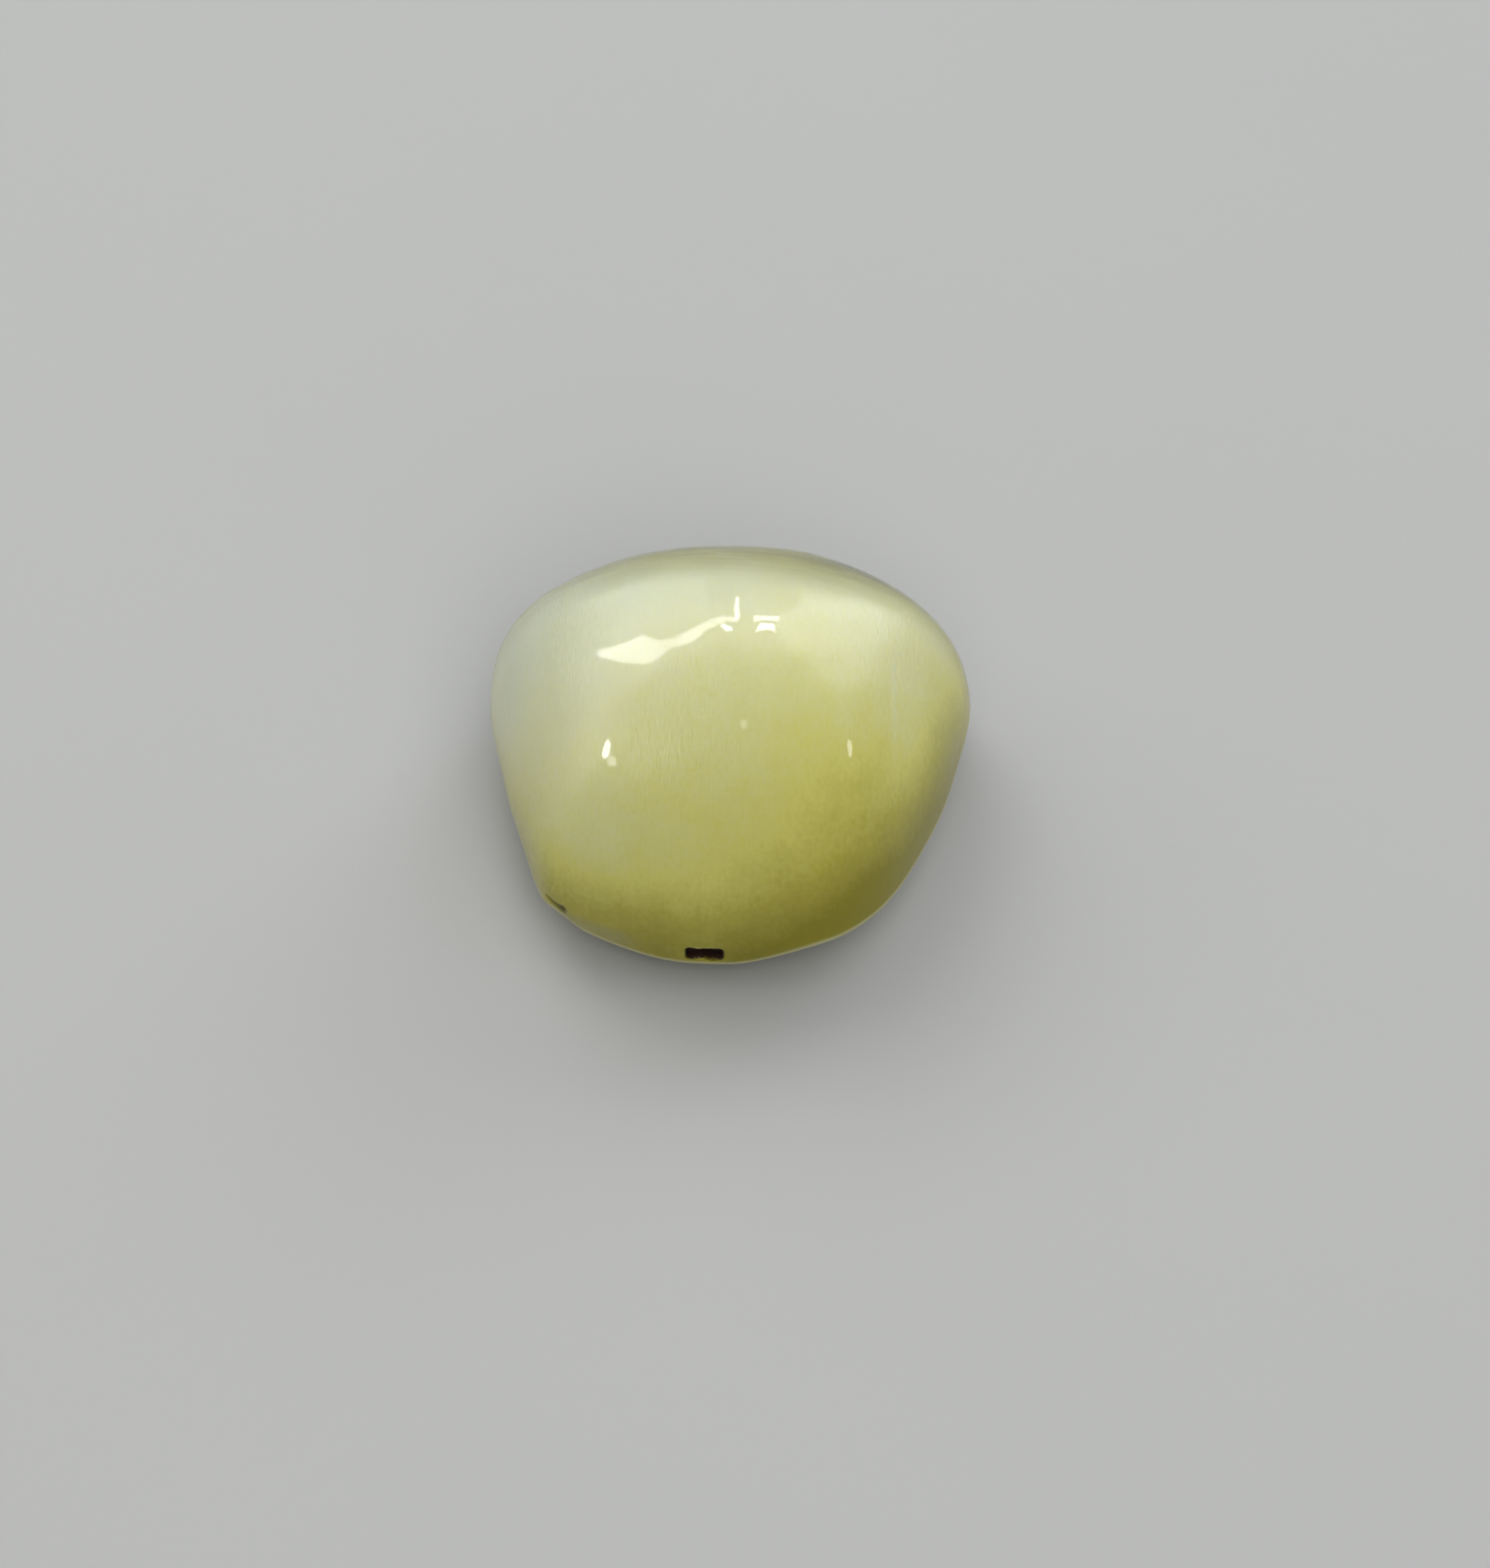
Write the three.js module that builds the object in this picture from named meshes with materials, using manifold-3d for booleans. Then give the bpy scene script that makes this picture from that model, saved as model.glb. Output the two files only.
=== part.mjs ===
// A polished cat's-eye quartz, one stone: a high dome on a shield-shaped plan, wide at the back and narrow
// at the near end, a steep band round the near rim with a small dark pit in it, a chipped near corner,
// and a shallow rounded back that ends in the small flat spot the stone rests on.
// Millimetres, +Z up, -Y towards the narrow near end. The origin is on the resting plane, under the middle.
import * as THREE from "three";
import { mergeVertices } from "three/addons/utils/BufferGeometryUtils.js";
import Module from "manifold-3d";

// The rim seen from above, anticlockwise from the right-hand side.
const RIM_POINTS = [
  [5.95, 0.2],
  [6.25, 3.4],
  [3.8, 5.45],
  [0.05, 5.85],
  [-3.8, 5],
  [-5.7, 3.3],
  [-5.45, 0.1],
  [-4.95, -2.1],
  [-4.3, -4.15],
  [-3.6, -4.75],
  [-1.65, -5.55],
  [-0.05, -5.75],
  [2.55, -5.5],
  [4, -4.4],
  [5.2, -2.15],
];
const STEPS_PER_RIM_POINT = 7;

const RIM_HEIGHT = 1.6;
const DOME_HEIGHT = 5.3;
const DOME_FULLNESS = 2.15; // 2 is an ellipse, more is squarer
const DOME_TOP = [-0.2, 0.3];
const ROUND_RADIUS = 5.9; // the rim's corners fade towards a circle of this size further up
const ROUND_SHARE = 0.3; // the share of the fading that goes evenly up the dome
const TOP_SHARPNESS = 8; // the rest of it comes near the top, more suddenly for a larger number
const DOME_RINGS = 21;

// The band under the rim is a hair's breadth on most of the stone, and deep round the near end only.
const BAND_THIN = 0.12;
const BAND_DEEP = 0.7;
const BAND_RISES = [210, 262]; // degrees round the plan from +X
const BAND_ENDS = [272, 296];
const BAND_LEAN = 0.1; // inward for each unit down

const FOOT_SHARE = 0.42; // the flat spot is the rim's outline at this scale
const BACK_ROUNDNESS = 1.7;
const BACK_RINGS = 6;

const PIT = { x: -0.36, width: 0.9, height: 0.42, depth: 0.25, below_rim: 0.03, turn: 2 };
const CHIP = { azimuth: 226, depth: 0.09, lean: 0.45, block: 6 };

const STONE_COLOUR = 0xbdbb7f;
const STONE_ROUGHNESS = 0.18;

function rimOutline() {
  const corners = RIM_POINTS.map(([x, y]) => new THREE.Vector3(x, y, 0));
  const curve = new THREE.CatmullRomCurve3(corners, true, "centripetal");
  const count = corners.length * STEPS_PER_RIM_POINT;
  return Array.from({ length: count }, (_, i) => curve.getPoint(i / count));
}

function bandHeight(point) {
  const turn = THREE.MathUtils.radToDeg(Math.atan2(point.y, point.x));
  const azimuth = THREE.MathUtils.euclideanModulo(turn, 360);
  const rise = THREE.MathUtils.smoothstep(azimuth, ...BAND_RISES);
  const stay = 1 - THREE.MathUtils.smoothstep(azimuth, ...BAND_ENDS);
  return BAND_THIN + (BAND_DEEP - BAND_THIN) * rise * stay;
}

// One ring of the dome: share 0 is the rim and 1 is the top.
function domeRing(rim, share) {
  const angle = (share * Math.PI) / 2;
  const inward = Math.cos(angle) ** (2 / DOME_FULLNESS);
  const upward = Math.sin(angle) ** (2 / DOME_FULLNESS);
  const rounding = ROUND_SHARE * upward + (1 - ROUND_SHARE) * upward ** TOP_SHARPNESS;
  const [topX, topY] = DOME_TOP;
  const height = RIM_HEIGHT + DOME_HEIGHT * upward;
  return rim.map((p) => {
    const scale = inward * THREE.MathUtils.lerp(1, ROUND_RADIUS / p.length(), rounding);
    return new THREE.Vector3(topX * upward + p.x * scale, topY * upward + p.y * scale, height);
  });
}

// One ring of the back: share 0 is the foot of the band and 1 is the edge of the flat spot.
function backRing(rim, share) {
  return rim.map((p) => {
    const band = bandHeight(p);
    const bandFoot = 1 - (BAND_LEAN * band) / p.length();
    const scale = THREE.MathUtils.lerp(bandFoot, FOOT_SHARE, share);
    const height = (RIM_HEIGHT - band) * (1 - share) ** BACK_ROUNDNESS;
    return new THREE.Vector3(p.x * scale, p.y * scale, height);
  });
}

// Skins rings that go from the bottom up, and closes both ends with a fan round a middle point.
function skin(rings, bottom, top) {
  const around = rings[0].length;
  const points = [...rings.flat(), bottom, top];
  const bottomIndex = points.length - 2;
  const topIndex = points.length - 1;
  const lastRing = (rings.length - 1) * around;
  const faces = [];
  for (let i = 0; i < around; i++) {
    const next = (i + 1) % around;
    faces.push(bottomIndex, next, i);
    faces.push(topIndex, lastRing + i, lastRing + next);
    for (let ring = 0; ring < lastRing; ring += around) {
      faces.push(ring + i, ring + next, ring + around + next);
      faces.push(ring + i, ring + around + next, ring + around + i);
    }
  }
  const geometry = new THREE.BufferGeometry().setFromPoints(points);
  geometry.setIndex(faces);
  return geometry;
}

function wholeStone(rim) {
  const back = Array.from({ length: BACK_RINGS + 1 }, (_, i) => backRing(rim, 1 - i / BACK_RINGS));
  const dome = Array.from({ length: DOME_RINGS }, (_, i) => domeRing(rim, i / DOME_RINGS));
  const top = new THREE.Vector3(...DOME_TOP, RIM_HEIGHT + DOME_HEIGHT);
  return skin([...back, ...dome], new THREE.Vector3(0, 0, 0), top);
}

// The block whose inner end is the floor of the pit in the near band.
function pitBlock(rim) {
  const nearEnd = Math.min(...rim.map((p) => p.y));
  const reach = 2 * PIT.width;
  const block = new THREE.BoxGeometry(PIT.width, reach, PIT.height);
  block.rotateY(THREE.MathUtils.degToRad(PIT.turn));
  const middleHeight = RIM_HEIGHT - PIT.below_rim - PIT.height / 2;
  block.translate(PIT.x, nearEnd + PIT.depth - reach / 2, middleHeight);
  return block;
}

// The block whose inner face is the flat of the chip at the near corner.
function chipBlock(rim) {
  const azimuth = THREE.MathUtils.degToRad(CHIP.azimuth);
  const out = new THREE.Vector3(Math.cos(azimuth), Math.sin(azimuth), 0);
  const corner = rim.reduce((best, p) => (p.dot(out) > best.dot(out) ? p : best));
  const normal = out.clone().setZ(-CHIP.lean).normalize();
  const start = new THREE.Vector3(corner.x, corner.y, RIM_HEIGHT);
  const centre = start.addScaledVector(normal, CHIP.block / 2 - CHIP.depth);
  const block = new THREE.BoxGeometry(CHIP.block, CHIP.block, CHIP.block);
  const turn = new THREE.Quaternion().setFromUnitVectors(new THREE.Vector3(0, 0, 1), normal);
  block.applyQuaternion(turn);
  block.translate(centre.x, centre.y, centre.z);
  return block;
}

function toSolid(wasm, geometry) {
  geometry.deleteAttribute("normal");
  geometry.deleteAttribute("uv");
  const merged = mergeVertices(geometry);
  const mesh = new wasm.Mesh({
    numProp: 3,
    vertProperties: merged.attributes.position.array,
    triVerts: new Uint32Array(merged.index.array),
  });
  return new wasm.Manifold(mesh);
}

function toGeometry(solid) {
  const mesh = solid.getMesh();
  const geometry = new THREE.BufferGeometry();
  geometry.setAttribute("position", new THREE.BufferAttribute(mesh.vertProperties, 3));
  geometry.setIndex(new THREE.BufferAttribute(mesh.triVerts, 1));
  return geometry;
}

// Moves the stone sideways until the origin is under the middle of its box.
function centred(geometry) {
  geometry.computeBoundingBox();
  const middle = geometry.boundingBox.getCenter(new THREE.Vector3());
  geometry.translate(-middle.x, -middle.y, 0);
  geometry.computeVertexNormals();
  return geometry;
}

function quartz() {
  return new THREE.MeshStandardMaterial({
    color: STONE_COLOUR,
    roughness: STONE_ROUGHNESS,
    metalness: 0,
  });
}

function stone(wasm) {
  const rim = rimOutline();
  const whole = toSolid(wasm, wholeStone(rim));
  const cut = whole.subtract(toSolid(wasm, pitBlock(rim))).subtract(toSolid(wasm, chipBlock(rim)));
  const mesh = new THREE.Mesh(centred(toGeometry(cut)), quartz());
  mesh.name = "stone";
  return mesh;
}

const wasm = await Module();
wasm.setup();

const catsEye = new THREE.Group();
catsEye.add(stone(wasm));

export default catsEye;
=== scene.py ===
"""A polished quartz cat's eye: its fine surface, its silky fibrous finish, and a small studio."""

import logging
import math
from dataclasses import dataclass
from enum import Enum
from typing import Any, Mapping, Sequence

import bpy
import numpy as np
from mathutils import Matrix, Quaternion, Vector

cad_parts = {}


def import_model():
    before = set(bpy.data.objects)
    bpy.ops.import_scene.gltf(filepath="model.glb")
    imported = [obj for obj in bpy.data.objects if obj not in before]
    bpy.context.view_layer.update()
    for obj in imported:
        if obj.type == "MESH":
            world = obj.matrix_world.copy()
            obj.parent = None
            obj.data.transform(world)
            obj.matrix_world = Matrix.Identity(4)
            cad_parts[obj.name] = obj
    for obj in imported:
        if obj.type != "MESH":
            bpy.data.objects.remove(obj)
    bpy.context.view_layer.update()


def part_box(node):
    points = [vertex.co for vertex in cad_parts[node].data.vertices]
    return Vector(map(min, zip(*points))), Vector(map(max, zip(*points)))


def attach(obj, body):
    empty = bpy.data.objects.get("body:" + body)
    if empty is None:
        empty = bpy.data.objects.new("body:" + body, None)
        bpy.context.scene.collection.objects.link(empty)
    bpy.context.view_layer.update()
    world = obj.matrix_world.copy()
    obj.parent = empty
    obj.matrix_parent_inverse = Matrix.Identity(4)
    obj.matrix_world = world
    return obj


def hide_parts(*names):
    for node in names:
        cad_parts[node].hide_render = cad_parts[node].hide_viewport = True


MM = 0.001
NEAR_END = np.array([0.0, -1.0, 0.0])
SKY = (0.93, 0.985, 1.0)
log = logging.getLogger("cats_eye")

Rgb = tuple[float, float, float]
Point2 = tuple[float, float]
Point3 = tuple[float, float, float]


class Body(str, Enum):
    """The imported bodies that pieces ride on."""

    ROOT = "root"


class Node(str, Enum):
    """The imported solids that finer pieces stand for."""

    STONE = "stone"


class Slot(str, Enum):
    """The record's finishes."""

    QUARTZ = "cats_eye_quartz"


class Mask(str, Enum):
    """The masks that the stone's mesh carries for its finish."""

    PIT = "pit"
    NICK = "nick"
    EDGE = "edge"
    BEVEL_SHADE = "worn"


class Form(str, Enum):
    """The form of a lamp."""

    ROUND = "ELLIPSE"
    SQUARE = "RECTANGLE"


class Use(Enum):
    """What a lamp is for."""

    BOTH = "lights the stone and is mirrored in it"
    FILL = "lights the stone only"
    GLINT = "is mirrored in the stone only"


def smoothstep(low: float, high: float, value: np.ndarray) -> np.ndarray:
    """An eased step.

    Args:
        low: Where the step starts.
        high: Where it has reached 1.
        value: The values to step.

    Returns:
        0 below low, 1 above high, and a smooth rise between them.
    """
    t = np.clip((value - low) / (high - low), 0.0, 1.0)
    return t * t * (3.0 - 2.0 * t)


def plateau(rise: Point2, fall: Point2, value: np.ndarray) -> np.ndarray:
    """A smooth rise to 1 and a smooth fall back to 0.

    Args:
        rise: Where the rise starts and ends.
        fall: Where the fall starts and ends.
        value: The values.

    Returns:
        0 to 1.
    """
    return smoothstep(*rise, value) * (1.0 - smoothstep(*fall, value))


class Wire:
    """A shader value. Python's operators on it add Math nodes."""

    def __init__(self, bench: "Bench", socket: bpy.types.NodeSocket) -> None:
        """Keeps the socket and the bench that its nodes are made on."""
        self.bench = bench
        self.socket = socket

    def _math(self, operation: str, *values: "Wire | float") -> "Wire":
        """Adds one Math node and takes its output."""
        return self.bench.add("ShaderNodeMath", {"operation": operation}, dict(enumerate(values)))

    def __add__(self, other: "Wire | float") -> "Wire":
        """This plus other."""
        return self._math("ADD", self, other)

    def __radd__(self, other: float) -> "Wire":
        """Other plus this."""
        return self._math("ADD", other, self)

    def __sub__(self, other: "Wire | float") -> "Wire":
        """This less other."""
        return self._math("SUBTRACT", self, other)

    def __rsub__(self, other: float) -> "Wire":
        """Other less this."""
        return self._math("SUBTRACT", other, self)

    def __mul__(self, other: "Wire | float") -> "Wire":
        """This times other."""
        return self._math("MULTIPLY", self, other)

    def __rmul__(self, other: float) -> "Wire":
        """Other times this."""
        return self._math("MULTIPLY", other, self)

    def __abs__(self) -> "Wire":
        """This without its sign."""
        return self._math("ABSOLUTE", self)

    def step(self, low: float, high: float) -> "Wire":
        """An eased step.

        Args:
            low: The value at which the step starts.
            high: The value at which it has reached 1. Below low, it is a step down the axis.

        Returns:
            0 to 1.
        """
        sockets = {"Value": self, "From Min": low, "From Max": high}
        return self.bench.add("ShaderNodeMapRange", {"interpolation_type": "SMOOTHSTEP"}, sockets)

    def held(self) -> "Wire":
        """This kept between 0 and 1."""
        return self.bench.add("ShaderNodeClamp", {}, {"Value": self})


class Bench:
    """Makes the nodes of one material or lamp."""

    def __init__(self, owner: bpy.types.Material | bpy.types.Light) -> None:
        """Starts with none."""
        owner.use_nodes = True
        self.tree = owner.node_tree
        self.tree.nodes.clear()

    def node(self, kind: str, settings: Mapping[str, Any], sockets: Mapping[Any, Any]) -> bpy.types.Node:
        """Adds a node of any kind.

        Args:
            kind: The node's type.
            settings: Its properties, set first. A ramp's stops are a list of (place, colour).
            sockets: Its inputs by name or number, each a value or a wire.

        Returns:
            The node.
        """
        node = self.tree.nodes.new(kind)
        for key, value in settings.items():
            if key == "stops":
                self._set_stops(node.color_ramp, value)
            else:
                setattr(node, key, value)
        for key, value in sockets.items():
            if isinstance(value, Wire):
                self.tree.links.new(value.socket, node.inputs[key])
            else:
                node.inputs[key].default_value = value
        return node

    def add(
        self, kind: str, settings: Mapping[str, Any], sockets: Mapping[Any, Any], out: int | str = 0
    ) -> Wire:
        """Adds a node and takes one of its outputs.

        Args:
            kind: The node's type.
            settings: Its properties.
            sockets: Its inputs.
            out: The output, by name or number.

        Returns:
            That output as a wire.
        """
        return Wire(self, self.node(kind, settings, sockets).outputs[out])

    @staticmethod
    def _set_stops(ramp: bpy.types.ColorRamp, stops: Sequence[tuple[float, Rgb]]) -> None:
        """Gives a ramp its stops.

        Args:
            ramp: The ramp.
            stops: Its places and colours, from the lowest place to the highest.
        """
        while len(ramp.elements) < len(stops):
            ramp.elements.new(1.0)
        for element, (place, colour) in zip(ramp.elements, stops):
            element.position = place
            element.color = (*colour, 1.0)

    def mix(self, share: Wire | float, first: Wire | Rgb, second: Wire | Rgb, blend: str = "MIX") -> Wire:
        """Mixes two colours.

        Args:
            share: How much of the second, 0 to 1.
            first: The colour at 0.
            second: The colour at 1.
            blend: How the second is laid over the first.

        Returns:
            The mixed colour.
        """
        sockets = {0: share}
        for key, colour in ((6, first), (7, second)):
            sockets[key] = (*colour, 1.0) if isinstance(colour, tuple) else colour
        return self.add("ShaderNodeMix", {"data_type": "RGBA", "blend_type": blend}, sockets, out=2)

    def place(self, scale: Point3 = (1.0, 1.0, 1.0)) -> Wire:
        """The place on the object in millimetres.

        Args:
            scale: What it is scaled by along each axis.

        Returns:
            The place.
        """
        spot = self.add("ShaderNodeTexCoord", {}, {}, out="Object")
        stretch = tuple(s / MM for s in scale)
        return self.add("ShaderNodeVectorMath", {"operation": "MULTIPLY"}, {0: spot, 1: stretch})

    def part(self, vector: Wire, axis: str) -> Wire:
        """One component of a vector."""
        return self.add("ShaderNodeSeparateXYZ", {}, {0: vector}, out=axis)

    def noise(self, scale: Point3, detail: float = 2.0, roughness: float = 0.5) -> Wire:
        """Even noise from 0 to 1 over the object.

        Args:
            scale: Lumps for each millimetre along each axis.
            detail: How many finer layers it has.
            roughness: How strong the finer layers are.

        Returns:
            The noise.
        """
        sockets = {"Vector": self.place(scale), "Scale": 1.0, "Detail": detail, "Roughness": roughness}
        return self.add("ShaderNodeTexNoise", {}, sockets)

    def mask(self, name: Mask) -> Wire:
        """A mask that the mesh carries."""
        return self.add("ShaderNodeAttribute", {"attribute_name": name.value}, {}, out="Fac")

    def span(self, value: Wire, low: float, high: float, rise: float, fall: float) -> Wire:
        """How far a value is inside a span.

        Args:
            value: The value.
            low: Where the span starts.
            high: Where it ends.
            rise: How far past its start it has reached 1.
            fall: How far before its end it leaves 1.

        Returns:
            0 to 1.
        """
        return value.step(low, low + rise) * (1.0 - value.step(high - fall, high))


@dataclass(frozen=True)
class Mottle:
    """An unevenness round 0."""

    lumps: Point3  # for each millimetre along each axis
    strength: float
    detail: float = 2.0

    def over(self, bench: Bench) -> Wire:
        """The unevenness over the object.

        Args:
            bench: The material's bench.

        Returns:
            Minus half the strength to plus half of it.
        """
        return (bench.noise(self.lumps, self.detail) - 0.5) * self.strength


@dataclass(frozen=True)
class Zone:
    """A soft zone of the object, where all its ramps are up."""

    strength: float
    ramps: Sequence[tuple[str, float, float]]  # the axis, and where a ramp is at 0 and at 1, in mm

    def over(self, bench: Bench) -> Wire | float:
        """The zone over the object.

        Args:
            bench: The material's bench.

        Returns:
            0 outside the zone, and up to its strength inside.
        """
        spot = bench.place()
        inside: Wire | float = self.strength
        for axis, foot, top in self.ramps:
            inside = bench.part(spot, axis).step(foot, top) * inside
        return inside


@dataclass(frozen=True)
class QuartzFinish:
    """Milky yellow-green quartz full of fine fibres, under a clear polish. Places in millimetres."""

    # The stone's colours, from where its tone is least to where it is most, and those tones.
    milk: Rgb = (0.53, 0.56, 0.43)
    pale: Rgb = (0.57, 0.57, 0.31)
    yellow: Rgb = (0.53, 0.505, 0.135)
    olive: Rgb = (0.36, 0.33, 0.048)
    deep_olive: Rgb = (0.205, 0.18, 0.0)
    tones: Sequence[float] = (0.0, 0.264, 0.496, 0.688, 0.95)

    # How the tone goes over the stone: partly the stone's own colour, partly painted light and shade,
    # milkier as a painted sheen on the lit back left and deeper olive as painted shade towards the near
    # right, the flanks, the foot and the back.
    tone_middle: float = 0.30
    tone_to_right: float = 0.030  # for each millimetre
    tone_to_near: float = 0.055
    tone_scale: float = 0.8
    # Zones where the tone deepens, partly as painted shade.
    zones: Sequence[Zone] = (
        Zone(0.50, (("X", 0.0, 6.0), ("Y", 0.0, -6.0))),  # near right
        Zone(0.28, (("X", 4.3, 5.6), ("Y", 2.5, -0.5))),  # right flank
        Zone(0.12, (("X", -3.6, -5.4), ("Y", 1.0, -2.5))),  # left flank
        Zone(0.55, (("Z", 4.4, 0.8),)),  # foot
        Zone(0.50, (("Y", 2.0, 4.2),)),  # back
    )
    clouds: Mottle = Mottle((0.35, 0.25, 0.35), 0.25)
    blotches: Mottle = Mottle((1.6, 1.3, 1.6), 0.12)
    streaks: Mottle = Mottle((2.6, 0.12, 0.12), 0.07, detail=3.0)
    flecks: Mottle = Mottle((8.0, 6.0, 6.0), 0.17)

    # A thin pale thread in the right flank.
    thread_place: float = 4.08
    thread_edge: Point2 = (0.03, 0.12)
    thread_ends: Point2 = (-2.4, 1.2)
    thread_fade: float = 1.0
    thread_paleness: float = 0.08

    # Painted shade: a dark band over the back edge, standing in for the dark surroundings that the polish
    # mirrors there and the light that is missing from below.
    painted_shade: Rgb = (0.10, 0.105, 0.045)
    shade_rise: Point2 = (1.6, 4.2)
    shade_fall: Point2 = (3.9, 5.6)
    shade_lost: float = 0.5
    shade_strength: float = 0.8
    shade_streaks: Mottle = Mottle((0.5, 5.0, 1.5), 0.5, detail=3.0)
    shade_right: Zone = Zone(0.2, (("X", 1.0, 4.0),))

    # The marks and the painted highlight, shade and shadow, and how much of the stone's colour each takes.
    # A frosted line along the band's foot, its pale colour partly a painted highlight where the edge catches
    # light.
    frost_and_highlight: Rgb = (0.44, 0.42, 0.24)
    frost_and_highlight_share: float = 0.7
    frosted_dullness: float = 0.5
    # Painted shade on the bevel strip beside the near corner.
    worn: Rgb = (0.27, 0.25, 0.13)
    worn_share: float = 0.5
    # Painted shadow in the nick's groove.
    nick_painted_shadow: Rgb = (0.055, 0.045, 0.018)
    nick_shadow_share: float = 0.9
    pit_brown: Rgb = (0.012, 0.004, 0.003)
    pit_share: float = 1.0

    # The fibres' lean to the sides, single and in bundles.
    fibres: Mottle = Mottle((320.0, 3.0, 3.0), 1.3, detail=0.0)
    bundles: Mottle = Mottle((14.0, 1.0, 1.0), 0.09)

    glow_share: float = 1.0
    glow_colour: Rgb = (1.0, 0.92, 0.5)
    glow_depth: float = 2.2 * MM
    silk_share: float = 0.03
    roughness: float = 0.39
    roughness_mottle: Mottle = Mottle((0.6, 0.3, 0.6), 0.10)
    dull_roughness: float = 0.3
    bend_of_light: float = 1.54
    inner_gloss: float = 0.3
    polish: float = 0.7
    polish_roughness: float = 0.035
    polish_bend: float = 1.33

    def fibre_normal(self, bench: Bench) -> Wire:
        """The surface's direction as the fibres turn it, to left and right only.

        Args:
            bench: The material's bench.

        Returns:
            The direction.
        """
        lean = self.fibres.over(bench) + self.bundles.over(bench)
        sideways = bench.add("ShaderNodeCombineXYZ", {}, {"X": lean})
        straight = bench.add("ShaderNodeNewGeometry", {}, {}, out="Normal")
        turned = bench.add("ShaderNodeVectorMath", {"operation": "ADD"}, {0: straight, 1: sideways})
        return bench.add("ShaderNodeVectorMath", {"operation": "NORMALIZE"}, {0: turned})

    def thread(self, bench: Bench) -> Wire:
        """The thin pale thread in the right flank.

        Args:
            bench: The material's bench.

        Returns:
            How much paler the stone is there.
        """
        spot = bench.place()
        away = abs(bench.part(spot, "X") - self.thread_place)
        along = bench.span(bench.part(spot, "Y"), *self.thread_ends, self.thread_fade, self.thread_fade)
        return (1.0 - away.step(*self.thread_edge)) * along * self.thread_paleness

    def tone(self, bench: Bench) -> Wire:
        """How deep the stone's colour is, from 0 at the milky back left to 1 at the olive near right: partly
        the stone's own colour, partly a painted sheen on the lit side and painted shade on the side away
        from the light.

        Args:
            bench: The material's bench.

        Returns:
            The depth.
        """
        spot = bench.place()
        x, y = (bench.part(spot, axis) for axis in "XY")
        tone = self.tone_middle + x * self.tone_to_right - y * self.tone_to_near
        for part in (*self.zones, self.clouds, self.blotches, self.streaks, self.flecks):
            tone = tone + part.over(bench)
        return ((tone - self.thread(bench)) * self.tone_scale).held()

    def painted_shade_share(self, bench: Bench) -> Wire:
        """How far the painted shade darkens the stone over its back edge, in soft streaks.

        Args:
            bench: The material's bench.

        Returns:
            The share of the painted shade's colour.
        """
        y = bench.part(bench.place(), "Y")
        edge = y.step(*self.shade_rise) * (1.0 - y.step(*self.shade_fall) * self.shade_lost)
        streaks = self.shade_streaks.over(bench) + self.shade_right.over(bench)
        return (edge * (self.shade_strength + streaks)).held()

    def colour(self, bench: Bench) -> Wire:
        """The stone's colour, partly painted light and shade, with its frosted edge and its painted edge
        highlight, its painted shade on the bevel strip, its dark pit and the painted shadow in its nick.

        Args:
            bench: The material's bench.

        Returns:
            The colour.
        """
        stops = list(zip(self.tones, (self.milk, self.pale, self.yellow, self.olive, self.deep_olive)))
        body = bench.add("ShaderNodeValToRGB", {"stops": stops}, {"Fac": self.tone(bench)})
        # Painted shade over the back edge.
        colour = bench.mix(self.painted_shade_share(bench), body, self.painted_shade)
        marks = (
            (Mask.BEVEL_SHADE, self.worn_share, self.worn),
            (Mask.EDGE, self.frost_and_highlight_share, self.frost_and_highlight),
            (Mask.NICK, self.nick_shadow_share, self.nick_painted_shadow),
            (Mask.PIT, self.pit_share, self.pit_brown),
        )
        for name, share, tint in marks:
            colour = bench.mix(bench.mask(name) * share, colour, tint)
        return colour

    def material(self) -> bpy.types.Material:
        """Makes the material.

        Returns:
            The material.
        """
        material = bpy.data.materials.new("cats_eye_quartz")
        bench = Bench(material)
        frosting = bench.mask(Mask.EDGE) * self.frosted_dullness
        dull = (bench.mask(Mask.PIT) + bench.mask(Mask.NICK) + frosting).held()
        uneven = self.roughness + self.roughness_mottle.over(bench)
        sockets = {
            "Base Color": self.colour(bench),
            "Metallic": self.silk_share * (1.0 - dull),
            "Roughness": uneven + dull * self.dull_roughness,
            "Normal": self.fibre_normal(bench),
            "Coat Weight": (1.0 - dull) * self.polish,
            "Coat Roughness": self.polish_roughness,
            "Coat IOR": self.polish_bend,
            "IOR": self.bend_of_light,
            "Specular IOR Level": self.inner_gloss,
            "Subsurface Weight": self.glow_share,
            "Subsurface Radius": self.glow_colour,
            "Subsurface Scale": self.glow_depth,
        }
        shader = bench.add("ShaderNodeBsdfPrincipled", {"subsurface_method": "RANDOM_WALK"}, sockets)
        bench.node("ShaderNodeOutputMaterial", {}, {"Surface": shader})
        return material


@dataclass(frozen=True)
class FloorFinish:
    """A plain pale matt surface."""

    colour: Rgb = (0.39, 0.39, 0.38)
    mottle: Mottle = Mottle((0.05, 0.05, 0.05), 0.04, detail=3.0)
    roughness: float = 0.75

    def material(self) -> bpy.types.Material:
        """Makes the material.

        Returns:
            The material.
        """
        material = bpy.data.materials.new("pale_floor")
        bench = Bench(material)
        uneven = 1.0 + self.mottle.over(bench)
        grey = bench.add("ShaderNodeCombineXYZ", {}, {"X": uneven, "Y": uneven, "Z": uneven})
        colour = bench.mix(1.0, self.colour, grey, blend="MULTIPLY")
        sockets = {"Base Color": colour, "Roughness": self.roughness}
        shader = bench.add("ShaderNodeBsdfPrincipled", {}, sockets)
        bench.node("ShaderNodeOutputMaterial", {}, {"Surface": shader})
        return material


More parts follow.
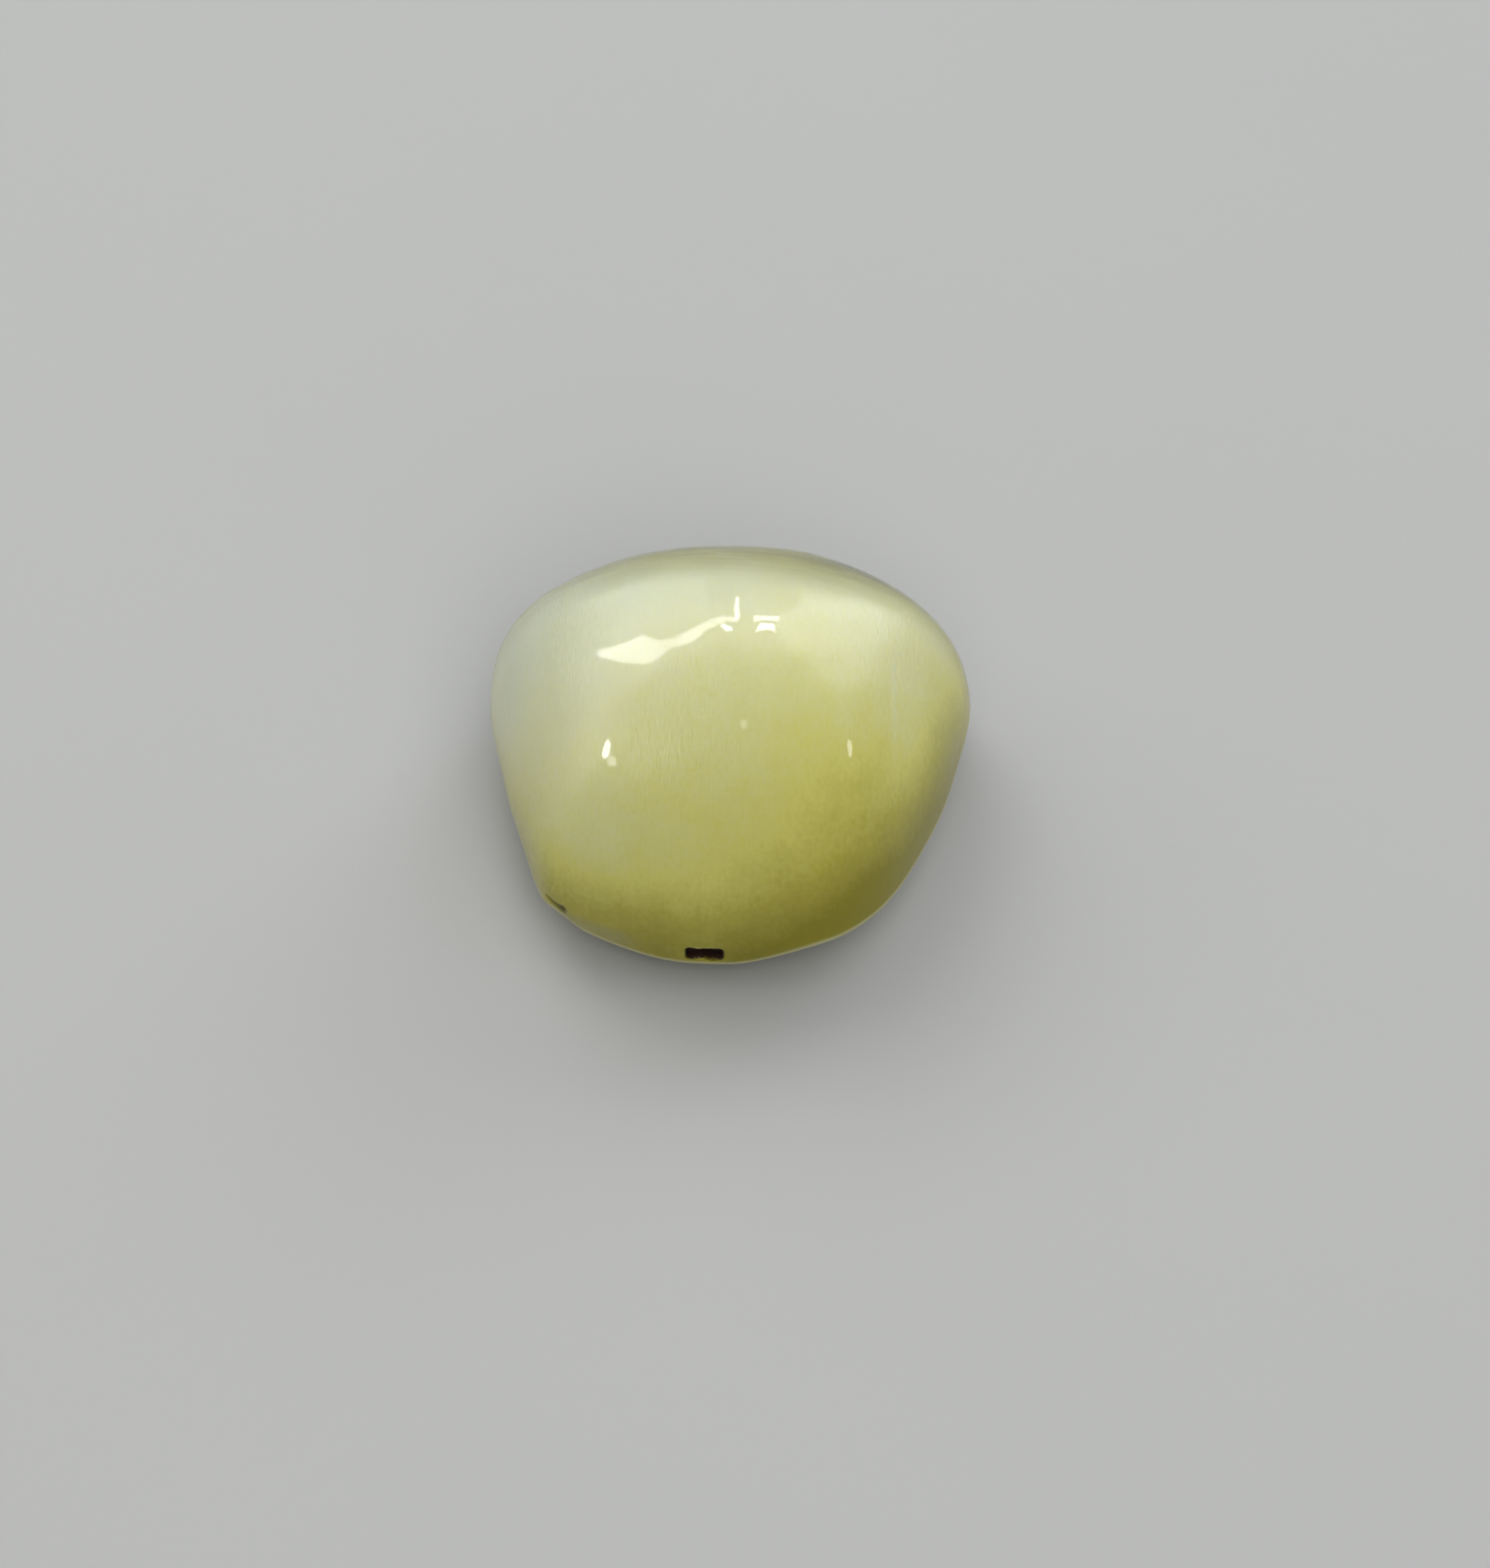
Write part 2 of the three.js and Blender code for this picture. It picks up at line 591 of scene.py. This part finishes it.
@dataclass
class RimOutline:
    """The stone's rim seen from above, a closed curve through a few points."""

    points: Sequence[Point2] = (
        (5.95, 0.2),
        (6.25, 3.4),
        (3.8, 5.45),
        (0.05, 5.85),
        (-3.8, 5.0),
        (-5.7, 3.3),
        (-5.45, 0.1),
        (-4.95, -2.1),
        (-4.3, -4.15),
        (-3.6, -4.75),
        (-1.65, -5.55),
        (-0.05, -5.75),
        (2.55, -5.5),
        (4.0, -4.4),
        (5.2, -2.15),
    )
    steps: int = 400
    ease: float = 3.0  # how many steps the curve is evened over
    ease_reach: float = 2.0  # how many times that it reaches to each side
    ease_samples: int = 17
    # The steps lie closer at the pit and at the chip: the place along the points, the reach, how many more.
    crowded: Sequence[Point3] = ((11.0, 0.55, 3.0), (8.6, 0.5, 1.5))
    measures_per_step: int = 8  # how finely that is added up

    def places(self) -> np.ndarray:
        """Where along the curve the steps lie.

        Returns:
            Places from 0 to the number of points.
        """
        count = len(self.points)
        fine = np.linspace(0.0, count, self.measures_per_step * self.steps + 1)
        crowd = np.ones_like(fine)
        for middle, reach, extra in self.crowded:
            crowd += extra * np.exp(-(((fine - middle) / reach) ** 2))
        run = np.concatenate([[0.0], np.cumsum((crowd[1:] + crowd[:-1]) / 2)])
        return np.interp(np.arange(self.steps) / self.steps * run[-1], run, fine)

    def curve(self, places: np.ndarray) -> np.ndarray:
        """A centripetal curve through the points.

        Args:
            places: Where along the curve, from 0 to the number of points.

        Returns:
            One point for each place, in millimetres.
        """
        points = np.asarray(self.points)
        count = len(points)
        first = np.floor(places).astype(int)
        t = (places - first)[:, None]
        p0, p1, p2, p3 = (points[(first + k) % count] for k in (-1, 0, 1, 2))
        gaps = (p1 - p0, p2 - p1, p3 - p2)
        d0, d1, d2 = (np.linalg.norm(gap, axis=1, keepdims=True) ** 0.5 for gap in gaps)
        start = d1 * ((p1 - p0) / d0 - (p2 - p0) / (d0 + d1) + (p2 - p1) / d1)
        end = d1 * ((p2 - p1) / d1 - (p3 - p1) / (d1 + d2) + (p3 - p2) / d2)
        square = 3 * (p2 - p1) - 2 * start - end
        cube = 2 * (p1 - p2) + start + end
        return p1 + start * t + square * t**2 + cube * t**3

    def trace(self) -> np.ndarray:
        """The curve, evened a little so that it bends without a break.

        Returns:
            The points round the rim, in millimetres.
        """
        places = self.places()
        reach = self.ease * len(self.points) / self.steps
        shifts = np.linspace(-self.ease_reach, self.ease_reach, self.ease_samples)
        weights = np.exp(-(shifts**2) / 2)
        weights /= weights.sum()
        count = len(self.points)
        return sum(w * self.curve((places + s * reach) % count) for s, w in zip(shifts, weights))


@dataclass(frozen=True)
class Wave:
    """One long shallow wave in the dome."""

    strength: float
    turns: Point3  # how fast it goes along each axis, in radians for each millimetre
    start: float
    sway: Point2 = (0.0, 0.0)  # how far its line sways, and how fast from front to back

    def heights(self, points: np.ndarray) -> np.ndarray:
        """Its height at each point.

        Args:
            points: The points, in millimetres.

        Returns:
            Minus its strength to plus it.
        """
        reach, pace = self.sway
        line = reach * np.sin(pace * points[:, 1])
        return self.strength * np.sin(points @ np.array(self.turns) + line + self.start)


@dataclass
class Stone:
    """The stone: a high dome, a steep band under the near rim, and a shallow back. Sizes in millimetres."""

    rim: RimOutline
    finish: QuartzFinish

    rim_height: float = 1.6
    dome_height: float = 5.3
    dome_fullness: float = 2.15  # 2 is an ellipse, more is squarer
    dome_top: Point2 = (-0.2, 0.3)
    dome_steps: tuple[int, int] = (12, 118)  # close together just above the rim, and further up
    dome_close: float = 0.03  # the share of the way up with the close ones
    round_radius: float = 5.9
    round_share: float = 0.3
    top_sharpness: float = 8.0
    waves: Sequence[Wave] = (
        Wave(1.0, (1.15, 0.55, 0.0), 0.6),
        Wave(0.7, (-0.8, 1.45, 0.0), 2.1),
        Wave(0.5, (2.1, -0.4, 0.5), 4.0),
        Wave(0.4, (1.3, 2.3, 0.0), 1.3),
        Wave(0.3, (4.3, 2.2, 0.0), 0.4, sway=(0.9, 1.7)),
        Wave(0.25, (-2.9, 5.1, 0.0), 2.7),
    )
    wave_height: float = 0.012
    wave_rise: Point2 = (0.3, 1.8)  # above the rim

    band_thin: float = 0.12
    band_deep: float = 0.7
    band_rises: Point2 = (210.0, 262.0)
    band_ends: Point2 = (272.0, 296.0)
    band_lean: float = 0.1
    band_steps: int = 24
    eased_rings: tuple[int, int] = (10, 8)  # of the back and of the dome
    edge_passes: int = 24

    foot_share: float = 0.42
    back_roundness: float = 1.7
    back_steps: tuple[int, int] = (26, 14)  # over most of the back, and close together just under the band
    back_close: float = 0.1  # the share of the way down with the close ones

    frost_and_highlight_rise: Point2 = (-0.10, -0.02)  # above the band's foot
    frost_and_highlight_fall: Point2 = (0.09, 0.20)
    # Where the painted shade on the bevel strip lies.
    worn_rise: Point2 = (227.0, 231.0)
    worn_fall: Point2 = (243.0, 252.0)
    worn_foot: Point2 = (-0.7, -0.5)  # above the rim
    worn_top: Point2 = (-0.05, 0.30)

    pit_middle: Point2 = (-0.36, 1.36)
    pit_size: Point2 = (0.90, 0.40)
    pit_corner: float = 0.09
    pit_depth: float = 0.22
    pit_slope: float = 0.03
    pit_stain: Point2 = (0.055, 0.02)  # how far its colour goes past its edge: none of it, all of it
    pit_notch: Point3 = (-0.05, 0.13, 0.06)  # in its lower edge: beside its middle, its width, its height
    pit_ripple: Point2 = (0.015, 9.0)  # of its edges: height, and radians for each millimetre
    pit_floor: Point3 = (0.15, 6.0, 8.0)  # share of its depth, and radians for each millimetre across and up

    nick_ends: tuple[Point3, Point3] = ((-4.29, -4.15, 1.80), (-3.87, -4.50, 1.72))
    nick_width: float = 0.12
    nick_spread: Point2 = (0.4, 1.3)  # the share of its width at each end
    nick_slope: Point2 = (0.3, 1.3)
    nick_depth: float = 0.06

    chip_azimuth: float = 226.0
    chip_depth: float = 0.035
    chip_lean: float = 0.45

    def band(self, outline: np.ndarray) -> np.ndarray:
        """The height of the band under the rim.

        Args:
            outline: The rim.

        Returns:
            A height for each of its points.
        """
        deep = plateau(self.band_rises, self.band_ends, self.azimuths(outline))
        return self.band_thin + (self.band_deep - self.band_thin) * deep

    @staticmethod
    def azimuths(points: np.ndarray) -> np.ndarray:
        """How far round the stone points are, in degrees anticlockwise from +X."""
        return np.degrees(np.arctan2(points[:, 1], points[:, 0])) % 360.0

    def back_rings(self, outline: np.ndarray) -> list[np.ndarray]:
        """The rings of the back.

        Args:
            outline: The rim.

        Returns:
            Rings from the edge of the flat spot up to the foot of the band.
        """
        wide, close = self.back_steps
        outer, inner = np.linspace(1.0, self.back_close, wide), np.linspace(self.back_close, 0.0, close)
        shares = np.concatenate([outer, inner[1:]])
        band = self.band(outline)
        foot = 1.0 - self.band_lean * band / np.linalg.norm(outline, axis=1)
        rings = []
        for share in shares:
            scale = foot + (self.foot_share - foot) * share
            height = (self.rim_height - band) * (1.0 - share) ** self.back_roundness
            rings.append(np.column_stack([outline * scale[:, None], height]))
        return rings

    def band_rings(self, outline: np.ndarray) -> list[np.ndarray]:
        """The rings of the band.

        Args:
            outline: The rim.

        Returns:
            Rings from just above its foot up to just under the rim.
        """
        band = self.band(outline)
        radius = np.linalg.norm(outline, axis=1)
        rings = []
        for down in np.linspace(1.0, 0.0, self.band_steps)[1:-1]:
            scale = 1.0 - self.band_lean * band * down / radius
            rings.append(np.column_stack([outline * scale[:, None], self.rim_height - band * down]))
        return rings

    def dome_rings(self, outline: np.ndarray) -> list[np.ndarray]:
        """The rings of the dome.

        Args:
            outline: The rim.

        Returns:
            Rings from the rim up to just under its top.
        """
        close, wide = self.dome_steps
        lower, upper = np.linspace(0.0, self.dome_close, close), np.linspace(self.dome_close, 1.0, wide)
        shares = np.concatenate([lower, upper[1:-1]])
        radius = np.linalg.norm(outline, axis=1)
        rings = []
        for angle in shares * math.pi / 2:
            inward = math.cos(angle) ** (2.0 / self.dome_fullness)
            upward = math.sin(angle) ** (2.0 / self.dome_fullness)
            rounding = self.round_share * upward + (1.0 - self.round_share) * upward**self.top_sharpness
            scale = inward * (1.0 + rounding * (self.round_radius / radius - 1.0))
            flat = np.asarray(self.dome_top) * upward + outline * scale[:, None]
            height = np.full(len(outline), self.rim_height + self.dome_height * upward)
            rings.append(np.column_stack([flat, height]))
        return rings

    def ease_edges(self, rings: np.ndarray, first: int, last: int) -> None:
        """Rounds the edges of the band a little, as polishing does.

        Args:
            rings: All rings, changed in place.
            first: The first ring that may move.
            last: The last one.
        """
        for _ in range(self.edge_passes):
            middle = rings[first : last + 1]
            beside = rings[first - 1 : last] + rings[first + 1 : last + 2]
            rings[first : last + 1] = (2.0 * middle + beside) / 4.0

    def rise(self, points: np.ndarray) -> np.ndarray:
        """How far the long shallow waves that polishing by hand leaves lift the dome.

        Args:
            points: The points.

        Returns:
            A height for each.
        """
        low, high = (self.rim_height + edge for edge in self.wave_rise)
        height = sum(wave.heights(points) for wave in self.waves)
        return self.wave_height * height * smoothstep(low, high, points[:, 2])

    def cut_chip(self, points: np.ndarray, outline: np.ndarray) -> None:
        """Cuts the flat of the chip at the near corner.

        Args:
            points: All points, changed in place.
            outline: The rim.
        """
        azimuth = math.radians(self.chip_azimuth)
        out = np.array([math.cos(azimuth), math.sin(azimuth)])
        corner = outline[np.argmax(outline @ out)]
        normal = np.array([*out, -self.chip_lean])
        normal /= np.linalg.norm(normal)
        start = np.array([*corner, self.rim_height]) - normal * self.chip_depth
        over = (points - start) @ normal
        points -= np.clip(over, 0.0, None)[:, None] * normal

    def cut_nick(self, points: np.ndarray) -> np.ndarray:
        """Cuts the short groove just above the chip.

        Args:
            points: All points, changed in place.

        Returns:
            The groove's mask.
        """
        start, end = (np.array(p) for p in self.nick_ends)
        along = np.clip((points - start) @ (end - start) / ((end - start) @ (end - start)), 0.0, 1.0)
        away = np.linalg.norm(points - start - along[:, None] * (end - start), axis=1)
        narrow, wide = self.nick_spread
        width = self.nick_width * (narrow + (wide - narrow) * along)
        groove = 1.0 - smoothstep(*self.nick_slope, away / width)
        inward = -points * np.array([1.0, 1.0, 0.0])
        points += (self.nick_depth * groove / np.linalg.norm(inward, axis=1))[:, None] * inward
        return groove

    def cut_pit(self, points: np.ndarray) -> np.ndarray:
        """Sinks the pit in the near band.

        Args:
            points: All points, changed in place.

        Returns:
            The pit's mask.
        """
        x, y, z = points.T
        side = x - self.pit_middle[0]
        below_middle = z < self.pit_middle[1]
        place, width, height = self.pit_notch
        notch = height * np.exp(-(((side - place) / width) ** 2)) * below_middle
        ripple, pace = self.pit_ripple
        ragged = notch + ripple * np.sin(pace * x)
        across = np.abs(side) - self.pit_size[0] / 2 + self.pit_corner
        up = np.abs(z - self.pit_middle[1]) - self.pit_size[1] / 2 + self.pit_corner + ragged
        edge = np.hypot(np.clip(across, 0.0, None), np.clip(up, 0.0, None)) - self.pit_corner
        near = y < 0.0
        share, pace_across, pace_up = self.pit_floor
        uneven = 1.0 + share * np.sin(pace_across * x + pace_up * z)
        sunk = smoothstep(self.pit_slope, -self.pit_slope, edge) * near
        points -= (self.pit_depth * sunk * uneven)[:, None] * NEAR_END
        return smoothstep(*self.pit_stain, edge) * near

    def edge_mask(self, rings: np.ndarray, outline: np.ndarray) -> np.ndarray:
        """The mask of the narrow frosted line along the band's foot, paler in colour as a painted highlight
        where the edge catches light.

        Args:
            rings: All rings.
            outline: The rim.

        Returns:
            The mask of every point.
        """
        up = rings[..., 2] - (self.rim_height - self.band(outline))
        return plateau(self.frost_and_highlight_rise, self.frost_and_highlight_fall, up).ravel()

    def worn_mask(self, points: np.ndarray) -> np.ndarray:
        """The mask of the painted shade on the bevel strip beside the near corner.

        Args:
            points: All points.

        Returns:
            Their mask.
        """
        along = plateau(self.worn_rise, self.worn_fall, self.azimuths(points))
        return along * plateau(self.worn_foot, self.worn_top, points[:, 2] - self.rim_height)

    def skin(self, name: str, rings: np.ndarray, top: np.ndarray) -> bpy.types.Mesh:
        """Skins the rings, and closes both ends round a middle point.

        Args:
            name: The mesh's name.
            rings: Points by ring and step, from the bottom up.
            top: The point at the top.

        Returns:
            The mesh.
        """
        count, around, _ = rings.shape
        bottom = rings[0].mean(axis=0)
        points = np.concatenate([rings.reshape(-1, 3), [bottom, top]]) * MM
        here = np.arange(around)
        after = (here + 1) % around
        starts = np.arange(count - 1)[:, None] * around
        upper = starts + around
        quads = np.stack([starts + here, starts + after, upper + after, upper + here], axis=-1)
        last = (count - 1) * around
        foot = [(count * around, b, a) for a, b in zip(here.tolist(), after.tolist())]
        cap = [(count * around + 1, last + a, last + b) for a, b in zip(here.tolist(), after.tolist())]
        mesh = bpy.data.meshes.new(name)
        mesh.from_pydata(points.tolist(), [], quads.reshape(-1, 4).tolist() + foot + cap)
        mesh.shade_smooth()
        return mesh

    def build(self) -> bpy.types.Object:
        """Builds the stone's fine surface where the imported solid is.

        Returns:
            The stone.
        """
        outline = self.rim.trace()
        back, band, dome = self.back_rings(outline), self.band_rings(outline), self.dome_rings(outline)
        rings = np.array(back + band + dome)
        under, over = self.eased_rings
        self.ease_edges(rings, len(back) - under, len(back) + len(band) + over)
        points = rings.reshape(-1, 3)
        masks = {Mask.EDGE: self.edge_mask(rings, outline), Mask.BEVEL_SHADE: self.worn_mask(points)}
        self.cut_chip(points, outline)
        masks[Mask.NICK] = self.cut_nick(points)
        masks[Mask.PIT] = self.cut_pit(points)
        points[:, 2] += self.rise(points)
        top = rings[-1].mean(axis=0)
        mesh = self.skin(Node.STONE.value + "_polished", points.reshape(rings.shape), top)
        for name, mask in masks.items():
            layer = mesh.attributes.new(name.value, "FLOAT", "POINT")
            layer.data.foreach_set("value", np.concatenate([mask, [0.0, 0.0]]).astype(np.float32))
        self.settle(mesh)
        stone = bpy.data.objects.new(mesh.name, mesh)
        bpy.context.scene.collection.objects.link(stone)
        return stone

    def settle(self, mesh: bpy.types.Mesh) -> None:
        """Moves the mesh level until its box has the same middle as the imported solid's.

        Args:
            mesh: The stone's mesh.
        """
        low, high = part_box(Node.STONE.value)
        corners = np.array([vertex.co[:] for vertex in mesh.vertices])
        middle = (corners.min(axis=0) + corners.max(axis=0)) / 2
        target = (np.array(low) + np.array(high)) / 2
        shift = Vector((target[0] - middle[0], target[1] - middle[1], 0.0))
        for vertex in mesh.vertices:
            vertex.co += shift

    def dress(self, stone: bpy.types.Object) -> None:
        """Gives the stone its finish, says what it rides on, and hides the imported solid that it stands
        for.

        Args:
            stone: The stone.
        """
        stone.data.materials.append(self.finish.material())
        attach(stone, Body.ROOT.value)
        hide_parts(Node.STONE.value)


@dataclass(frozen=True)
class Lamp:
    """A panel of light that faces the stone. Angles in degrees, sizes in metres."""

    name: str
    azimuth: float  # anticlockwise from +X
    elevation: float
    width: float
    height: float
    brightness: float
    roll: float = 0.0
    fade: tuple[float, ...] = ()  # over what share its light falls off: left, right, below, above
    outline: Sequence[Point3] = ()  # where it is lit, in mm from its middle: place, low edge, high edge
    colour: Rgb = (1.0, 1.0, 1.0)
    distance: float = 0.30
    form: Form = Form.SQUARE
    use: Use = Use.BOTH
    edge_softness: float = 0.008  # the share of the panel over which a lit outline's edge rises

    def build(self, aim: Vector) -> bpy.types.Object:
        """Hangs the panel so that it faces the stone.

        Args:
            aim: The point that it faces.

        Returns:
            The panel.
        """
        light = bpy.data.lights.new(self.name, "AREA")
        light.shape = self.form.value
        light.size = self.width
        light.size_y = self.height
        light.energy = self.brightness * math.pi * self.width * self.height
        light.color = self.colour
        if self.fade or self.outline:
            self.pattern(light)
        azimuth, elevation = math.radians(self.azimuth), math.radians(self.elevation)
        level = math.cos(elevation)
        way = Vector((level * math.cos(azimuth), level * math.sin(azimuth), math.sin(elevation)))
        panel = bpy.data.objects.new(self.name, light)
        panel.location = aim + way * self.distance
        panel.rotation_mode = "QUATERNION"
        roll = Quaternion((0, 0, 1), math.radians(self.roll))
        panel.rotation_quaternion = way.to_track_quat("Z", "Y") @ roll
        panel.visible_camera = False
        panel.visible_glossy = self.use is not Use.FILL
        panel.visible_diffuse = self.use is not Use.GLINT
        bpy.context.scene.collection.objects.link(panel)
        return panel

    def pattern(self, light: bpy.types.Light) -> None:
        """Lets the panel's light fall off towards its edges, or keeps it inside its lit outline.

        Args:
            light: The panel's light.
        """
        bench = Bench(light)
        spot = bench.add("ShaderNodeNewGeometry", {}, {}, out="Parametric")
        along, up = (bench.part(spot, axis) for axis in "XY")
        strength = self.outlined(bench, along, up) if self.outline else self.faded(bench, along, up)
        glow = bench.add("ShaderNodeEmission", {}, {"Color": (1.0, 1.0, 1.0, 1.0), "Strength": strength})
        bench.node("ShaderNodeOutputLight", {}, {"Surface": glow})

    def faded(self, bench: Bench, along: Wire, up: Wire) -> Wire:
        """Light that falls off towards the edges.

        Args:
            bench: The lamp's bench.
            along: The place along the panel, 0 to 1.
            up: The place up the panel, 0 to 1.

        Returns:
            The light there, 0 to 1.
        """
        left, right, below, above = self.fade
        return bench.span(along, 0.0, 1.0, left, right) * bench.span(up, 0.0, 1.0, below, above)

    def outlined(self, bench: Bench, along: Wire, up: Wire) -> Wire:
        """Light inside the lit outline only.

        Args:
            bench: The lamp's bench.
            along: The place along the panel, 0 to 1.
            up: The place up the panel, 0 to 1.

        Returns:
            The light there, 0 to 1.
        """
        size = np.array([self.width, self.height, self.height])
        places, *edges = (0.5 + np.array(self.outline) * MM / size).T.tolist()
        ramps = []
        for edge in edges:
            stops = [(place, (height,) * 3) for place, height in zip(places, edge)]
            ramps.append(bench.add("ShaderNodeValToRGB", {"stops": stops}, {"Fac": along}))
        low, high = ramps
        inside = (up - low).step(0.0, self.edge_softness) * (high - up).step(0.0, self.edge_softness)
        return inside * bench.span(along, places[0], places[-1], self.edge_softness, self.edge_softness)


# The leaf and its tail that the window makes in the dome: place along the panel, low edge, high edge.
WINDOW_OUTLINE = (
    (-92.0, -20.0, -14.0),
    (-80.0, -19.0, -14.0),
    (-70.0, -15.0, -10.0),
    (-40.0, 2.0, 7.0),
    (-20.0, 15.0, 19.0),
    (-10.0, 17.0, 30.0),
    (0.0, 22.0, 35.0),
    (20.0, 32.0, 38.0),
    (42.0, 35.0, 40.0),
    (50.0, 18.0, 40.0),
    (60.0, -18.0, 39.0),
    (68.0, -25.5, 37.0),
    (76.0, -29.5, 36.0),
    (88.0, -37.5, 34.0),
    (110.0, -43.5, 30.0),
    (130.0, -50.0, 18.0),
    (145.0, -55.0, -10.0),
    (160.0, -62.0, -45.0),
    (178.0, -71.0, -70.0),
)


# Over what share of a panel its light falls off: left, right, below, above.
FADE_LEFT = (0.03, 0.25, 0.25, 0.25)
FADE_RIGHT = (0.35, 0.06, 0.35, 0.35)
FADE = (0.4, 0.4, 0.4, 0.4)
FADE_WIDE = (0.45, 0.45, 0.45, 0.45)


@dataclass
class Studio:
    """A pale floor, soft panels and an even pale surround."""

    floor_finish: FloorFinish
    floor_radius: float = 0.9
    floor_sides: int = 96
    surround: Rgb = (0.80, 0.83, 0.86)
    surround_brightness: float = 0.20
    aim: Point3 = (0.0, 0.0, 3.0 * MM)
    lamps: Sequence[Lamp] = (
        Lamp("window", 104.0, 45.0, 0.36, 0.16, 15.5, outline=WINDOW_OUTLINE, use=Use.GLINT),
        Lamp("window_bar", 84.1, 35.4, 0.004, 0.046, 23.0, roll=17.0, use=Use.GLINT),
        Lamp("small_window", 86.9, 45.6, 0.023, 0.022, 32.0, roll=22.0, use=Use.GLINT),
        Lamp("second_window_top", 72.2, 37.8, 0.050, 0.018, 19.0, roll=29.0, use=Use.GLINT),
        Lamp("second_window_low", 68.1, 43.3, 0.033, 0.026, 30.0, roll=28.0, use=Use.GLINT),
        Lamp("left_strip", -165.5, 48.2, 0.071, 0.038, 30.0, roll=-15.0, form=Form.ROUND, use=Use.GLINT),
        Lamp("left_strip_foot", -150.2, 47.5, 0.037, 0.035, 10.0, form=Form.ROUND, use=Use.GLINT),
        Lamp("right_strip", 8.9, 22.3, 0.028, 0.015, 11.0, roll=42.0, form=Form.ROUND, use=Use.GLINT),
        Lamp("top_fleck", -21.6, 79.7, 0.028, 0.007, 8.0, roll=25.0, form=Form.ROUND, use=Use.GLINT),
        Lamp("window_light", 118.0, 46.0, 0.20, 0.20, 2.7, use=Use.FILL),
        Lamp(
            "back_left", 111.6, 28.0, 0.29, 0.30, 1.5, roll=-12.0, fade=FADE_LEFT, colour=SKY, distance=0.45
        ),
        Lamp(
            "back_right", 47.0, 25.0, 0.35, 0.40, 3.2, roll=30.0, fade=FADE_RIGHT, colour=SKY, distance=0.45
        ),
        Lamp("left_panel", 158.0, 26.0, 0.40, 0.40, 1.3, fade=FADE_WIDE, distance=0.35),
        Lamp("front_fill", -80.0, 42.0, 0.60, 0.50, 4.3, fade=FADE, distance=0.50, use=Use.FILL),
        Lamp("right_fill", -10.0, 66.0, 0.60, 0.60, 1.6, fade=FADE, distance=0.50, use=Use.FILL),
    )

    def build(self) -> None:
        """Builds the floor, the panels and the surround."""
        self._floor()
        self._surround()
        for lamp in self.lamps:
            lamp.build(Vector(self.aim))

    def _floor(self) -> None:
        """A round floor, which is no part of the object."""
        turns = np.linspace(0.0, 2.0 * math.pi, self.floor_sides, endpoint=False)
        rim = [(self.floor_radius * math.cos(t), self.floor_radius * math.sin(t), 0.0) for t in turns]
        mesh = bpy.data.meshes.new("floor")
        mesh.from_pydata(rim, [], [tuple(range(self.floor_sides))])
        mesh.materials.append(self.floor_finish.material())
        floor = bpy.data.objects.new("floor", mesh)
        bpy.context.scene.collection.objects.link(floor)

    def _surround(self) -> None:
        """The even light from all round."""
        world = bpy.data.worlds.new("surround")
        world.use_nodes = True
        background = world.node_tree.nodes["Background"]
        background.inputs["Color"].default_value = (*self.surround, 1.0)
        background.inputs["Strength"].default_value = self.surround_brightness
        bpy.context.scene.world = world


@dataclass
class Viewpoint:
    """The photograph's viewing angle: level, from above the near end, through a long lens."""

    elevation: float = 47.0
    focal_px: float = 11700.0
    long_side_px: float = 1974.0
    sensor: float = 36.0
    distance: float = 232.8 * MM
    clear_range: float = 100.0  # how many times nearer and further than the stone it still sees
    aim: Point3 = (0.368 * MM, -1.0 * MM, 2.419 * MM)

    def build(self) -> None:
        """Makes the camera and takes it into use."""
        camera = bpy.data.cameras.new("camera")
        camera.sensor_width = self.sensor
        camera.lens = self.sensor * self.focal_px / self.long_side_px
        camera.clip_start = self.distance / self.clear_range
        camera.clip_end = self.distance * self.clear_range
        elevation = math.radians(self.elevation)
        back = Vector((0.0, -math.cos(elevation), math.sin(elevation)))
        eye = bpy.data.objects.new("camera", camera)
        eye.location = Vector(self.aim) + back * self.distance
        eye.rotation_mode = "QUATERNION"
        eye.rotation_quaternion = (-back).to_track_quat("-Z", "Y")
        bpy.context.scene.collection.objects.link(eye)
        bpy.context.scene.camera = eye


def main() -> None:
    """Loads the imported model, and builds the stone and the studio."""
    logging.basicConfig(level=logging.INFO, format="%(message)s")
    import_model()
    Viewpoint().build()
    log.info("camera placed")
    stone = Stone(rim=RimOutline(), finish=QuartzFinish())
    piece = stone.build()
    stone.dress(piece)
    log.info("%s: %d points", piece.name, len(piece.data.vertices))
    Studio(floor_finish=FloorFinish()).build()
    log.info("studio built")
    bpy.context.scene.view_settings.view_transform = "Standard"


if __name__ == "__main__":
    main()
